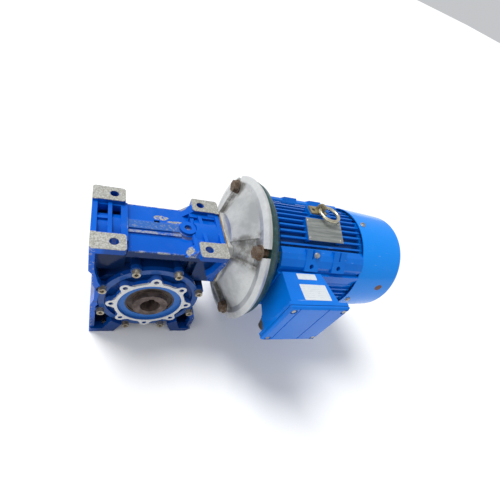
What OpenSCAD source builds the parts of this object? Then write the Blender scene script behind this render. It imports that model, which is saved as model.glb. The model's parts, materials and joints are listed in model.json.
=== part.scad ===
// Worm gear reducer with a hollow output shaft, driven by a flanged electric motor.
// X runs along the worm and motor axis towards the motor, Y along the output shaft
// away from the side cover, Z up. The origin is the middle of the output bore.

/* [Gearbox] */
// Distance between the worm axis and the output axis
centre_distance = 90; // [88:0.5:92]
// Output axis to the machined faces of the top pads
top_pad_height = 135; // [133:1:140]
// Output axis to the machined faces of the bottom feet
bottom_foot_height = 103; // [103:1:110]
// Thickness of the pads and feet
foot_t = 11; // [9:1:12]
// Spacing of the foot holes along the worm axis
foot_hole_spacing_x = 140; // [138:1:144]
// Spacing of the foot holes along the output axis
foot_hole_spacing_y = 100; // [96:1:102]
// Diameter of the foot holes
foot_hole_d = 13; // [9:1:14]
// Diameter of the holes in the top pads
pad_hole_d = 13.5; // [9.5:1:14.5]

/* [Output side] */
// Bore of the hollow shaft
bore_d = 35; // [30:1:38]
// Overall length of the hollow shaft
hollow_shaft_length = 140; // [138:1:146]
// Output axis plane to each output flange face
output_face = 67; // [66:1:69]
// Pitch circle of the output flange holes
lug_circle_d = 130; // [128:1:132]
// Number of output flange holes on each side
lug_count = 8; // [4:1:8]
// Core diameter of the tapped output flange holes
lug_hole_d = 8.5; // [6:0.5:9]
// Register diameter inside the output flange ring
register_d = 110; // [108:1:112]

/* [Gears] */
// Teeth on the worm wheel
wheel_teeth = 30; // [28:1:32]
// Pitch diameter of the worm
worm_pitch_d = 45; // [44:1:46]
// Play between a thread and a tooth gap, along the pitch line
gear_play = 1.2; // [1:0.1:1.6]

/* [Input flange] */
// Outer diameter of the round flange
flange_d = 250; // [246:1:252]
// Pitch circle of the flange bolts
flange_bolt_circle_d = 215; // [213:1:217]
// Diameter of the motor spigot
spigot_d = 180; // [176:1:182]
// Mating face of the input flange, from the output axis
flange_face = 145; // [143:1:147]

/* [Motor] */
// Radius over the fins of the motor frame
fin_r = 93; // [90:1:95]
// Number of fin places around the frame
fin_places = 54; // [40:1:56]
// Diameter of the motor shaft
motor_shaft_d = 28; // [27:1:28]
// Length of the fan cowl
cowl_length = 100; // [96:1:104]
// Radius of the fan cowl at its open end
cowl_r = 97.4; // [96.5:0.1:100]
// Swing of the motor terminal box from the front of the motor to its lid face
box_reach = 156; // [152:1:160]

/* [Hidden] */
$fn = 72;

housing_blue = "royalblue";
motor_blue = "dodgerblue";
overlap = 1;

// Gearing
worm_starts = 1;
wheel_pitch_r = centre_distance - worm_pitch_d / 2;
module_mm = 2 * wheel_pitch_r / wheel_teeth;
axial_pitch = PI * module_mm;
pressure_angle = 20;
wheel_base_r = wheel_pitch_r * cos(pressure_angle);
wheel_root_r = wheel_pitch_r - 1.2 * module_mm;
wheel_throat_r = wheel_pitch_r + module_mm;
wheel_tip_r = wheel_throat_r + 3;
wheel_width = 34;
worm_tip_r = worm_pitch_d / 2 + module_mm;
worm_root_r = worm_pitch_d / 2 - 1.2 * module_mm;
worm_lead_angle = atan(axial_pitch * worm_starts / (PI * worm_pitch_d));
thread_half_length = 40;

// Output side, measured along Y from the output axis plane
cover_joint = 50;
cover_rim_t = 8;
cover_r = 86;
cover_screw_r = 87;
cover_screw_count = 8;
ring_t = 5;
ring_outer_r = 60.5;
lug_r = 8.8;
cavity_r = 77.5;
cover_spigot_t = 6;
output_bearing = [30, 47.5, 18];
output_bearing_y = 30;
output_seal_r = 42.5;
output_seal_t = 10;
output_seal_y = 51;
shaft_r = 30;

// Worm line, measured along X
tunnel_r = 41;
tunnel_end = -97;
housing_face = 103;
blind_bearing = [15, 31, 16];
blind_bearing_x = -80;
input_bearing = [22.5, 37.5, 16];
input_bearing_x = 64;
circlip_t = 2;
end_cap_x = -93;
end_cap_t = 8;
input_seal_x = 86;
input_seal_t = 8;
worm_end_x = 122;

// Flange and motor, measured along X
gasket_t = 1;
flange_rim_t = 11;
motor_face = flange_face + gasket_t;
shield_back_x = 178;
frame_end_x = 341;
motor_bearing = [15, 31, 16];
drive_bearing_x = 152;
fan_bearing_x = 345;
frame_bore_r = 78;
frame_wall_r = 84;
core_x = 205;
core_length = 100;
rotor_r = 50.4;
stator_bore_r = 51;
core_shaft_r = 19;
shaft_tip_x = 86;
shaft_tail_x = 402;
fan_x = 376;
rail_angles = [42, 138, 222, 318];
rail_r = 99;
cowl_end_x = frame_end_x + cowl_length;
cowl_wall = 1.6;
rear_shield_t = 8;
shield_bolt_r = 88;
cowl_screw_angles = [-3, 87, 177, 267];

// Terminal box, measured along X and Z
box_x = [175, 282];
box_z = [38, 142];
box_rim_y = -box_reach + 8;
lid_t = 7;
box_wall = 3.5;

// Lifting ring on top of the motor
ring_hole = [264, 12, 195];
ring_turn = -50;
ring_major_r = 17;
ring_wire_r = 3;

// --- placing helpers -------------------------------------------------------------

// Local z along X, on the worm and motor axis
module on_worm_axis() {
    translate([0, 0, centre_distance])
        rotate([0, 90, 0])
            children();
}

// Local z along Y, on the output axis
module on_output_axis() {
    rotate([-90, 0, 0])
        children();
}

// Solid round bar along the worm axis
module bar_x(x0, x1, r) {
    on_worm_axis()
        translate([0, 0, x0])
            cylinder(r = r, h = x1 - x0);
}

// Tapered round bar along the worm axis
module cone_x(x0, x1, r0, r1) {
    on_worm_axis()
        translate([0, 0, x0])
            cylinder(r1 = r0, r2 = r1, h = x1 - x0);
}

// Tube along the worm axis
module tube_x(x0, x1, r_out, r_in) {
    difference() {
        bar_x(x0, x1, r_out);
        bar_x(x0 - overlap, x1 + overlap, r_in);
    }
}

// Solid round bar along the output axis
module bar_y(y0, y1, r) {
    on_output_axis()
        translate([0, 0, y0])
            cylinder(r = r, h = y1 - y0);
}

// Tapered round bar along the output axis
module cone_y(y0, y1, r0, r1) {
    on_output_axis()
        translate([0, 0, y0])
            cylinder(r1 = r0, r2 = r1, h = y1 - y0);
}

// Tube along the output axis
module tube_y(y0, y1, r_out, r_in) {
    difference() {
        bar_y(y0, y1, r_out);
        bar_y(y0 - overlap, y1 + overlap, r_in);
    }
}

// Box from its lowest corner to its highest corner
module block(low, high) {
    translate(low)
        cube(high - low);
}

// Copies around the output axis: angle from +X towards +Z
module around_output(angle, r) {
    rotate([0, -angle, 0])
        translate([r, 0, 0])
            children();
}

// Places local z radially outwards from the motor axis: 0 is the front, 90 the top
module on_motor(angle, r) {
    translate([0, 0, centre_distance])
        rotate([90 - angle, 0, 0])
            translate([0, 0, r])
                children();
}

// The same object on the other side of the gearbox
module rear_side() {
    mirror([0, 1, 0])
        children();
}

// --- bearings ----------------------------------------------------------------------
// A bearing is [bore radius, outer radius, width]

function ball_r(b) = (b[1] - b[0]) * 0.3;
function pitch_r(b) = (b[0] + b[1]) / 2;
function ball_count(b) = floor(PI * pitch_r(b) / ball_r(b) * 0.8);
race_gap = 0.2;

module outer_ring(b) {
    rotate_extrude()
        difference() {
            translate([pitch_r(b) + ball_r(b) * 0.55, 0])
                square([b[1] - pitch_r(b) - ball_r(b) * 0.55, b[2]]);
            translate([pitch_r(b), b[2] / 2])
                circle(r = ball_r(b) + race_gap);
        }
}

module inner_ring(b) {
    rotate_extrude()
        difference() {
            translate([b[0], 0])
                square([pitch_r(b) - ball_r(b) * 0.55 - b[0], b[2]]);
            translate([pitch_r(b), b[2] / 2])
                circle(r = ball_r(b) + race_gap);
        }
}

// Cage ring with a round window for every ball
module ball_cage(b) {
    cage_t = ball_r(b) * 0.45;
    cage_w = min(b[2], ball_r(b) * 2 + 3);
    difference() {
        translate([0, 0, (b[2] - cage_w) / 2])
            cylinder(r = pitch_r(b) + cage_t / 2, h = cage_w);
        translate([0, 0, -overlap])
            cylinder(r = pitch_r(b) - cage_t / 2, h = b[2] + 2 * overlap);
        at_balls(b)
            rotate([0, 90, 0])
                cylinder(r = ball_r(b) + race_gap, h = ball_r(b) * 2, center = true);
    }
}

module at_balls(b) {
    for (i = [0 : ball_count(b) - 1])
        rotate([0, 0, 360 / ball_count(b) * i])
            translate([pitch_r(b), 0, b[2] / 2])
                children();
}

module balls_and_cage(b) {
    ball_cage(b);
    at_balls(b)
        sphere(r = ball_r(b), $fn = 36);
}

// --- gearbox housing ---------------------------------------------------------------

// Outline of the closed left wall, seen along Y
module left_wall_outline() {
    polygon([[-102, top_pad_height], [-102, 80], [-97, 73], [-96, 47], [-92, 38], [-92, 6],
        [-98, -16], [-98, -bottom_foot_height], [-89, -bottom_foot_height], [-89, -18],
        [-83, -6], [-83, 42], [-88, 54], [-94, 84], [-94, top_pad_height]]);
}

// Right walls: one under the top pads, leaning in at its foot, and one above the feet
module right_wall_outline() {
    polygon([[102, top_pad_height], [102, 116], [97, 96], [92, 84], [84, 78], [78, 84],
        [86, 94], [94, 118], [94, top_pad_height]]);
    polygon([[98, 10 - bottom_foot_height], [98, -56], [92, -40], [83, -40], [89, -58],
        [89, -bottom_foot_height], [92, -bottom_foot_height]]);
}

module xz_plate(y0, y1) {
    translate([0, y1, 0])
        rotate([90, 0, 0])
            linear_extrude(height = y1 - y0)
                children();
}

module pad_outline(x0, x1) {
    polygon([[x0 + 4, -15], [x0 + 1.3, -13.7], [x0, -11], [x0, 11], [x0 + 1.3, 13.7],
        [x0 + 4, 15], [x1 - 4, 15], [x1 - 1.3, 13.7], [x1, 11], [x1, -11],
        [x1 - 1.3, -13.7], [x1 - 4, -15]]);
}

module corner_pads() {
    for (sy = [-1, 1]) {
        translate([0, sy * 50, top_pad_height - foot_t])
            linear_extrude(height = foot_t) {
                pad_outline(-102, -53);
                pad_outline(55, 102);
            }
    }
}

module bottom_feet() {
    z0 = -bottom_foot_height;
    for (sy = [-1, 1]) {
        translate([0, sy * 50, 0]) {
            xz_plate(-15, 15)
                polygon([[-98, z0], [-54, z0], [-41, z0 + 27], [-41, -60], [-60, -60],
                    [-74, z0 + foot_t], [-98, z0 + foot_t]]);
            xz_plate(-15, 15)
                polygon([[90, z0], [58, z0], [46, z0 + 27], [46, -60], [62, -60],
                    [74, z0 + foot_t], [98, z0 + foot_t], [98, z0 + 8]]);
        }
    }
}

// Deck between the pads, with its plain raised bar and the ramps up to the right pads
module top_deck() {
    xz_plate(-50, 50)
        polygon([[-52, 104], [-49, 118], [60, 118], [60, 104]]);
    for (sy = [-1, 1])
        translate([0, sy * 44, 0])
            xz_plate(-9, 9)
                polygon([[36, 116], [40, 118], [56, 132], [60, 132], [60, 116]]);
    for (sy = [-1, 1])
        translate([0, sy * 40, 0])
            xz_plate(-8, 8)
                polygon([[-44, 116], [-49, 118], [-54, 126], [-58, 126], [-58, 116]]);
    block([-62, -8, 110], [30, 8, 124]);
    block([-50, -15, 110], [34, -10, 121.5]);
    translate([44, 0, 110])
        cylinder(r = 16, h = 13.4);
}

// Ribs and walls of the pockets between the left pads
module left_pocket_ribs() {
    block([-99, -36, 60], [-94, 36, 131]);
    block([-79, -36, 60], [-73, 36, 130]);
    block([-60, -36, 60], [-50, 36, 128]);
    block([-96, 0, 60], [-73, 5, 129]);
    block([-96, 31, 60], [-50, 40, 128]);
    block([-96, -40, 60], [-50, -27, 128]);
}

// Ribs and walls of the pockets between the right pads, and the flange screw bosses
module right_pocket_ribs() {
    block([94, -50, 54], [housing_face, 50, 127]);
    block([51, -36, 60], [57, 36, 126]);
    block([50, 26, 60], [98, 40, 128]);
    block([50, -40, 60], [98, -32, 128]);
    block([50, -30, 60], [68, 6, 125]);
    translate([68, -34, 0])
        rotate([0, 0, 4])
            block([0, 0, 60], [6, 62, 130]);
    for (sy = [-1, 1])
        translate([82, sy * 36, centre_distance + 33])
            rotate([0, 90, 0])
                cylinder(r = 8, h = 20);
}

module input_screw_places() {
    for (sy = [-1, 1])
        for (sz = [-1, 1])
            translate([0, sy * 36, centre_distance + sz * 33])
                rotate([0, 90, 0])
                    children();
}

// Ring and lugs that carry an output flange, on the +Y side
module flange_ring_outside() {
    y0 = cover_joint + 1;
    bar_y(y0, output_face, ring_outer_r);
    for (i = [0 : lug_count - 1])
        around_output(i * 360 / lug_count, 0) {
            translate([lug_circle_d / 2, 0, 0])
                bar_y(y0, output_face, lug_r);
            translate([0, y0, 0])
                on_output_axis()
                    linear_extrude(height = output_face - y0)
                        polygon([[57, -15], [lug_circle_d / 2, -lug_r], [lug_circle_d / 2, lug_r],
                            [57, 15]]);
        }
}

// Everything cut from the flange ring: register, seal seat, bearing seat, tapped holes
module flange_ring_inside() {
    bar_y(output_face - ring_t, output_face + overlap, register_d / 2);
    bar_y(output_bearing_y + output_bearing[2] - overlap, output_face, output_seal_r);
    bar_y(output_bearing_y - 4, output_bearing_y + output_bearing[2], output_bearing[1]);
    for (i = [0 : lug_count - 1])
        around_output(i * 360 / lug_count, lug_circle_d / 2)
            bar_y(output_face - 14, output_face + overlap, lug_hole_d / 2);
}

// End wall with a sunk ring behind the lugs
module end_wall(y0) {
    difference() {
        bar_y(y0, cover_joint + cover_rim_t, cover_r);
        tube_y(cover_joint + cover_rim_t - 4.5, cover_joint + cover_rim_t + overlap, 76, 56);
    }
}

module cover_ears(y0, y1) {
    for (i = [0 : cover_screw_count - 1])
        around_output((i + 0.5) * 360 / cover_screw_count, cover_screw_r)
            translate([0.6, 0, 0])
                bar_y(y0, y1, 8.4);
}

module housing_outside() {
    // drum round the worm wheel
    bar_y(-cover_joint - 0.5, cover_joint, cover_r);
    cover_ears(-cover_joint + 0.4, -20);
    rear_side()
        cover_ears(-cover_joint + 0.4, -30);
    end_wall(cover_joint - overlap);
    flange_ring_outside();
    // tunnel round the worm
    bar_x(tunnel_end, -52, 35.5);
    bar_x(-53, 56, 32.5);
    bar_x(55, housing_face, tunnel_r);
    block([-60, -36, 40], [60, 36, 108]);
    block([60, -48, 52], [housing_face, 48, 124]);
    // walls, pads and feet
    xz_plate(-62, 62)
        left_wall_outline();
    xz_plate(-62, 62)
        right_wall_outline();
    corner_pads();
    bottom_feet();
    top_deck();
    left_pocket_ribs();
    right_pocket_ribs();
    // webs behind the cover that tie the walls to the drum
    xz_plate(-48.6, 48.6)
        polygon([[-88, -30], [-64, -52], [-58, 0], [-52, 64], [-75, 57], [-88, 45]]);
    xz_plate(-45, 45)
        polygon([[61, 41], [97, 72], [100, 91], [61, 91]]);
    block([62, -21, -81], [90, 21, -31]);
    xz_plate(-33, 33)
        polygon([[-66, -50], [-90, -38], [-90, -72], [-70, -79], [-48, -70]]);
}

module housing_inside() {
    // joint face and room for the rim of the side cover
    bar_y(-cover_joint - 20, -cover_joint, cover_r + 0.6);
    // wheel chamber, open at the side cover
    bar_y(-cover_joint - overlap, 28, cavity_r);
    // worm chamber and its seats
    bar_x(blind_bearing_x + blind_bearing[2] - overlap, input_bearing_x + overlap, 28.4);
    bar_x(tunnel_end - overlap, blind_bearing_x + blind_bearing[2], blind_bearing[1]);
    bar_x(input_bearing_x, housing_face + overlap, input_bearing[1]);
    tube_x(blind_bearing_x - circlip_t, blind_bearing_x, blind_bearing[1] + 1.6,
        blind_bearing[1] - overlap);
    tube_x(input_bearing_x + input_bearing[2], input_bearing_x + input_bearing[2] + circlip_t,
        input_bearing[1] + 1.8, input_bearing[1] - overlap);
    flange_ring_inside();
    // foot holes
    for (sx = [-1, 1])
        for (sy = [-1, 1])
            translate([sx * foot_hole_spacing_x / 2, sy * foot_hole_spacing_y / 2, 0]) {
                translate([0, 0, top_pad_height - foot_t - 8])
                    cylinder(d = pad_hole_d, h = foot_t + 9);
                translate([0, 0, -bottom_foot_height - overlap])
                    cylinder(d = foot_hole_d, h = foot_t + 14);
            }
    // side cover screws, room for the ears of the cover, and input flange screws
    for (i = [0 : cover_screw_count - 1])
        around_output((i + 0.5) * 360 / cover_screw_count, cover_screw_r) {
            bar_y(-cover_joint - overlap, -cover_joint + 16, 4);
            translate([0.6, 0, 0])
                bar_y(-cover_joint - 20, -cover_joint + 0.7, 8.8);
        }
    input_screw_places()
        translate([0, 0, housing_face - 18])
            cylinder(r = 4, h = 19);
    // filler hole in the deck and drain holes low in the drum
    translate([44, 0, 100])
        cylinder(r = 7, h = 30);
    translate([44, 0, 123])
        cylinder(r = 13.9, h = 10);
    translate([0, 36, -cover_r - overlap])
        cylinder(r = 6, h = 16);
    translate([0, -30, -cover_r - overlap])
        cylinder(r = 6, h = 16);
    // walls between the pads stand a little lower
    block([-110, -34, top_pad_height - 4], [110, 34, top_pad_height + 4]);
    // small square pocket beside the raised bar
    block([-8, 10, 111], [1, 19, 120]);
}

module gearbox_housing() {
    color(housing_blue)
        difference() {
            housing_outside();
            housing_inside();
        }
}

module side_cover() {
    color(housing_blue)
        difference() {
            rear_side() {
                end_wall(cover_joint);
                bar_y(cover_joint - cover_spigot_t, cover_joint + overlap, cavity_r - 0.5);
                bar_y(output_bearing_y - 2, cover_joint, output_bearing[1] + 9);
                flange_ring_outside();
                cover_ears(cover_joint, cover_joint + cover_rim_t);
            }
            rear_side() {
                flange_ring_inside();
                tube_y(cover_joint - cover_spigot_t - overlap, cover_joint - 1,
                    cavity_r - 7, output_bearing[1] + 9);
                tube_y(cover_joint - 4.5, cover_joint - 1.5, cavity_r, cavity_r - 3);
            }
            for (i = [0 : cover_screw_count - 1])
                around_output((i + 0.5) * 360 / cover_screw_count, cover_screw_r)
                    bar_y(-cover_joint - cover_rim_t - overlap, -cover_joint + overlap, 4.5);
        }
}

module side_cover_o_ring() {
    color("dimgray")
        rear_side()
            on_output_axis()
                translate([0, 0, cover_joint - 3])
                    rotate_extrude()
                        translate([cavity_r - 1.6, 0])
                            circle(r = 1.35, $fn = 24);
}

module socket_screw(d, head_r, head_h, length) {
    difference() {
        cylinder(r = head_r, h = head_h);
        translate([0, 0, head_h * 0.45])
            cylinder(r = head_r * 0.56, h = head_h, $fn = 6);
    }
    translate([0, 0, -length])
        cylinder(d = d, h = length + overlap);
}

module side_cover_screws() {
    color("tan")
        for (i = [0 : cover_screw_count - 1])
            around_output((i + 0.5) * 360 / cover_screw_count, cover_screw_r)
                translate([0, -cover_joint - cover_rim_t, 0])
                    rotate([90, 0, 0])
                        socket_screw(8, 6.5, 8, 22);
}

// --- output side -------------------------------------------------------------------

module oil_seal(r_out, r_in, t) {
    difference() {
        cylinder(r = r_out, h = t);
        translate([0, 0, -overlap])
            cylinder(r = r_in, h = t + 2 * overlap);
        translate([0, 0, t - 2])
            difference() {
                cylinder(r = r_out - 3, h = 3);
                translate([0, 0, -overlap])
                    cylinder(r = r_in + 2.5, h = 5);
            }
    }
}

module output_oil_seal_front() {
    color("saddlebrown")
        rear_side()
            on_output_axis()
                translate([0, 0, output_seal_y])
                    oil_seal(output_seal_r, shaft_r + 0.08, output_seal_t);
}

module output_oil_seal_rear() {
    color("saddlebrown")
        on_output_axis()
            translate([0, 0, output_seal_y])
                oil_seal(output_seal_r, shaft_r + 0.08, output_seal_t);
}

module output_bearing_place() {
    on_output_axis()
        translate([0, 0, output_bearing_y])
            children();
}

module output_bearing_outer_front() {
    color("silver")
        rear_side()
            output_bearing_place()
                outer_ring(output_bearing);
}

module output_bearing_outer_rear() {
    color("silver")
        output_bearing_place()
            outer_ring(output_bearing);
}

module output_bearing_inner_front() {
    color("silver")
        rear_side()
            output_bearing_place()
                inner_ring(output_bearing);
}

module output_bearing_inner_rear() {
    color("silver")
        output_bearing_place()
            inner_ring(output_bearing);
}

module output_bearing_balls() {
    color("gainsboro") {
        output_bearing_place()
            balls_and_cage(output_bearing);
        rear_side()
            output_bearing_place()
                balls_and_cage(output_bearing);
    }
}

// Hollow shaft with the hub that carries the bronze rim
module output_shaft() {
    keyway_w = 10;
    keyway_depth = 3.4;
    hub_y = output_bearing_y;
    color("sienna")
        difference() {
            union() {
                bar_y(-hollow_shaft_length / 2, hollow_shaft_length / 2, shaft_r);
                bar_y(-hub_y, hub_y, shaft_r + 5);
                bar_y(-6, 6, 52);
                tube_y(-15, 15, 52, 44);
            }
            bar_y(-hollow_shaft_length, hollow_shaft_length, bore_d / 2);
            block([-keyway_w / 2, -hollow_shaft_length, 0],
                [keyway_w / 2, hollow_shaft_length, bore_d / 2 + keyway_depth]);
            for (i = [0 : 5])
                around_output(i * 60 + 30, 41)
                    bar_y(-hub_y, hub_y, 4);
        }
}

// Half the angle of a tooth gap at radius r, from the involute
function involute(a) = tan(a) * 180 / PI - a;
function roll_angle(r) = acos(min(1, wheel_base_r / max(r, wheel_base_r)));
function gap_half_angle(r) = 90 / wheel_teeth + involute(roll_angle(r)) - involute(pressure_angle)
    + gear_play / 4 / wheel_pitch_r * 180 / PI;
gap_radii = [wheel_root_r, wheel_pitch_r, wheel_tip_r + 2];
function gap_point(r, side) = [side * r * sin(gap_half_angle(r)), r * cos(gap_half_angle(r))];

module tooth_gap() {
    translate([0, 0, wheel_pitch_r])
        rotate([0, 0, -worm_lead_angle * 0.86])
            translate([0, wheel_width, -wheel_pitch_r])
                rotate([90, 0, 0])
                    linear_extrude(height = 2 * wheel_width)
                        polygon(concat([for (r = gap_radii) gap_point(r, -1)],
                            [for (i = [len(gap_radii) - 1 : -1 : 0]) gap_point(gap_radii[i], 1)]));
}

// Half section of the bronze rim: throated towards the worm
module wheel_section() {
    throat_r = centre_distance - wheel_throat_r;
    steps = 6;
    half = wheel_width / 2;
    edge = asin((half - 2) / throat_r);
    polygon(concat([[52, -15], [52, 15], [56, half], [wheel_tip_r - 2, half]],
        [for (i = [-steps / 2 : steps / 2])
            [min(wheel_tip_r, centre_distance - throat_r * cos(edge * i / (steps / 2))),
                -throat_r * sin(edge * i / (steps / 2))]],
        [[wheel_tip_r - 2, -half], [56, -half]]));
}

module worm_wheel() {
    color("goldenrod")
        difference() {
            on_output_axis()
                rotate_extrude()
                    wheel_section();
            for (i = [0 : wheel_teeth - 1])
                rotate([0, i * 360 / wheel_teeth, 0])
                    tooth_gap();
        }
}

// --- worm --------------------------------------------------------------------------

// Radius of the threaded part at a phase along one pitch, 0 in the middle of the thread
thread_half_tip = axial_pitch / 4 - gear_play / 4 - module_mm * tan(pressure_angle);
thread_half_root = thread_half_tip + (worm_tip_r - worm_root_r) * tan(pressure_angle);
function phase_distance(p) = min(p - floor(p), 1 - p + floor(p)) * axial_pitch;
function thread_radius(d) = d <= thread_half_tip ? worm_tip_r
    : d >= thread_half_root ? worm_root_r
    : worm_tip_r - (d - thread_half_tip) / tan(pressure_angle);
function fade(x) = min(1, max(0, (thread_half_length - 1 - abs(x)) / 6));
thread_sides = 32;
thread_rows = 64;
function row_x(j) = -thread_half_length + 2 * thread_half_length * j / thread_rows;
function thread_point(j, i) = let (
        x = row_x(j),
        turn = i / thread_sides,
        full = thread_radius(phase_distance(x / axial_pitch - turn)),
        r = worm_root_r + (full - worm_root_r) * fade(x)
    ) [r * cos(360 * turn), r * sin(360 * turn), x];

module worm_thread() {
    points = [for (j = [0 : thread_rows]) for (i = [0 : thread_sides - 1]) thread_point(j, i)];
    function corner(j, i) = j * thread_sides + i % thread_sides;
    sides = [for (j = [0 : thread_rows - 1]) for (i = [0 : thread_sides - 1])
        for (half = [0, 1]) half == 0
            ? [corner(j, i), corner(j + 1, i), corner(j + 1, i + 1)]
            : [corner(j, i), corner(j + 1, i + 1), corner(j, i + 1)]];
    bottom = [[for (i = [0 : thread_sides - 1]) corner(0, i)]];
    top = [[for (i = [thread_sides - 1 : -1 : 0]) corner(thread_rows, i)]];
    polyhedron(points = points, faces = concat(bottom, sides, top));
}

module worm_shaft() {
    color("slategray")
        difference() {
            union() {
                on_worm_axis()
                    rotate([0, 0, worm_phase])
                        worm_thread();
                bar_x(blind_bearing_x - 2, blind_bearing_x + blind_bearing[2], blind_bearing[0]);
                bar_x(blind_bearing_x + blind_bearing[2], -thread_half_length + overlap, 16.5);
                bar_x(thread_half_length - overlap, 60, 16.5);
                cone_x(50, 60, 16.5, 25);
                bar_x(60, input_bearing_x, 25);
                bar_x(input_bearing_x, worm_end_x, input_bearing[0]);
            }
            bar_x(shaft_tip_x - 8, worm_end_x + overlap, motor_shaft_d / 2 + 0.02);
            block([shaft_tip_x - 8, -4, centre_distance],
                [worm_end_x + overlap, 4, centre_distance + motor_shaft_d / 2 + 3.3]);
        }
}
worm_phase = 0;

module worm_bearing_outer_blind() {
    color("silver")
        on_worm_axis()
            translate([0, 0, blind_bearing_x])
                outer_ring(blind_bearing);
}

module worm_bearing_inner_blind() {
    color("silver")
        on_worm_axis()
            translate([0, 0, blind_bearing_x])
                inner_ring(blind_bearing);
}

module worm_bearing_outer_input() {
    color("silver")
        on_worm_axis()
            translate([0, 0, input_bearing_x])
                outer_ring(input_bearing);
}

module worm_bearing_inner_input() {
    color("silver")
        on_worm_axis()
            translate([0, 0, input_bearing_x])
                inner_ring(input_bearing);
}

module worm_bearing_balls() {
    color("gainsboro")
        on_worm_axis() {
            translate([0, 0, blind_bearing_x])
                balls_and_cage(blind_bearing);
            translate([0, 0, input_bearing_x])
                balls_and_cage(input_bearing);
        }
}

// Pressed cap that closes the blind end of the worm tunnel
module worm_end_cap() {
    color("dimgray")
        difference() {
            bar_x(end_cap_x, end_cap_x + end_cap_t, blind_bearing[1]);
            bar_x(end_cap_x + 2, end_cap_x + end_cap_t + overlap, blind_bearing[1] - 3);
        }
}

module retaining_ring(r_out, r_in) {
    difference() {
        cylinder(r = r_out, h = circlip_t);
        translate([0, 0, -overlap])
            cylinder(r = r_in, h = circlip_t + 2 * overlap);
        translate([0, -4, -overlap])
            cube([r_out + 1, 8, circlip_t + 2 * overlap]);
    }
}

module worm_retaining_rings() {
    color("darkgray")
        on_worm_axis() {
            translate([0, 0, blind_bearing_x - circlip_t])
                retaining_ring(blind_bearing[1] + 1.5, blind_bearing[1] - 4);
            translate([0, 0, input_bearing_x + input_bearing[2]])
                retaining_ring(input_bearing[1] + 1.7, input_bearing[1] - 4);
        }
}

module input_oil_seal() {
    color("saddlebrown")
        on_worm_axis()
            translate([0, 0, input_seal_x])
                oil_seal(input_bearing[1], input_bearing[0] + 0.08, input_seal_t);
}

// Filler plug with a serrated flange and a hexagon socket
module filler_plug() {
    notches = 24;
    color(housing_blue)
        translate([44, 0, 123])
            difference() {
                union() {
                    cylinder(r = 13.5, h = 5);
                    translate([0, 0, -6])
                        cylinder(r = 6.9, h = 7);
                }
                translate([0, 0, -1])
                    cylinder(r = 5.8, h = 8);
                for (i = [0 : notches - 1])
                    rotate([0, 0, i * 360 / notches])
                        translate([14, 0, -overlap])
                            cylinder(r = 1.1, h = 4.5, $fn = 16);
            }
}

module drain_plugs() {
    color("darkgray")
        for (y = [-30, 36])
            translate([0, y, -cover_r])
                rotate([180, 0, 0])
                    difference() {
                        union() {
                            translate([0, 0, -10])
                                cylinder(r = 6, h = 10);
                            cylinder(r = 9, h = 4);
                        }
                        translate([0, 0, 1])
                            cylinder(r = 4, h = 4, $fn = 6);
                    }
}

// --- input flange ------------------------------------------------------------------

module hub_outline(half_y, half_z) {
    polygon([[-half_z, -half_y + 12], [-half_z + 12, -half_y], [half_z - 12, -half_y],
        [half_z, -half_y + 12], [half_z, half_y - 12], [half_z - 12, half_y],
        [-half_z + 12, half_y], [-half_z, half_y - 12]]);
}

module housing_gasket() {
    color("peru")
        on_worm_axis()
            translate([0, 0, housing_face])
                linear_extrude(height = gasket_t)
                    difference() {
                        hub_outline(52, 44);
                        circle(r = 39);
                        for (sy = [-1, 1])
                            for (sz = [-1, 1])
                                translate([sz * 33, sy * 36])
                                    circle(r = 4.2);
                    }
}

module flange_bolt_places() {
    for (i = [0 : 3])
        rotate([0, 0, 45 + i * 90])
            translate([flange_bolt_circle_d / 2, 0, 0])
                children();
}

// Bell-shaped adaptor between the square housing face and the round motor flange
module input_flange() {
    hub_x = housing_face + gasket_t;
    rim_x = flange_face - flange_rim_t + 2;
    rim_r = flange_d / 2;
    color("silver")
        difference() {
            on_worm_axis() {
                translate([0, 0, hub_x])
                    linear_extrude(height = 8)
                        difference() {
                            hub_outline(52, 44);
                            circle(r = 40.5);
                        }
                // thin bell and rim
                rotate_extrude()
                    polygon([[39, hub_x], [43, hub_x], [57, hub_x + 9], [93, rim_x - 2],
                        [rim_r - 9, rim_x - 2], [rim_r, rim_x + 1], [rim_r, rim_x + 3],
                        [rim_r - 3.5, flange_face], [spigot_d / 2, flange_face],
                        [spigot_d / 2, flange_face - 6], [82, flange_face - 6],
                        [46, 126], [39, 126]]);
                // raised sectors between the bolt pockets
                for (i = [0 : 3])
                    rotate([0, 0, i * 90 - 33])
                        rotate_extrude(angle = 66)
                            polygon([[50, hub_x + 4], [60, hub_x + 4], [102, rim_x - 4],
                                [111, rim_x + 1], [80, rim_x + 1], [50, hub_x + 14]]);
            }
            // open slots for the bolts
            on_worm_axis()
                flange_bolt_places() {
                    translate([0, 0, 120])
                        cylinder(r = 7, h = 40);
                    translate([0, -6.9, 120])
                        cube([30, 13.8, 40]);
                }
            input_screw_places()
                translate([0, 0, housing_face]) {
                    cylinder(r = 4.5, h = 30);
                    translate([0, 0, 12])
                        cylinder(r = 8, h = 40);
                }
        }
}

module input_flange_screws() {
    color("darkgray")
        input_screw_places()
            translate([0, 0, housing_face + 12])
                socket_screw(8, 6.5, 8, 24);
}

module flange_gasket() {
    color("tan")
        difference() {
            tube_x(flange_face, motor_face, 120.5, spigot_d / 2);
            on_worm_axis()
                flange_bolt_places()
                    translate([0, -6.9, 0]) {
                        cube([30, 13.8, 200]);
                        translate([0, 6.9, 0])
                            cylinder(r = 7, h = 200);
                    }
        }
}

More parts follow.
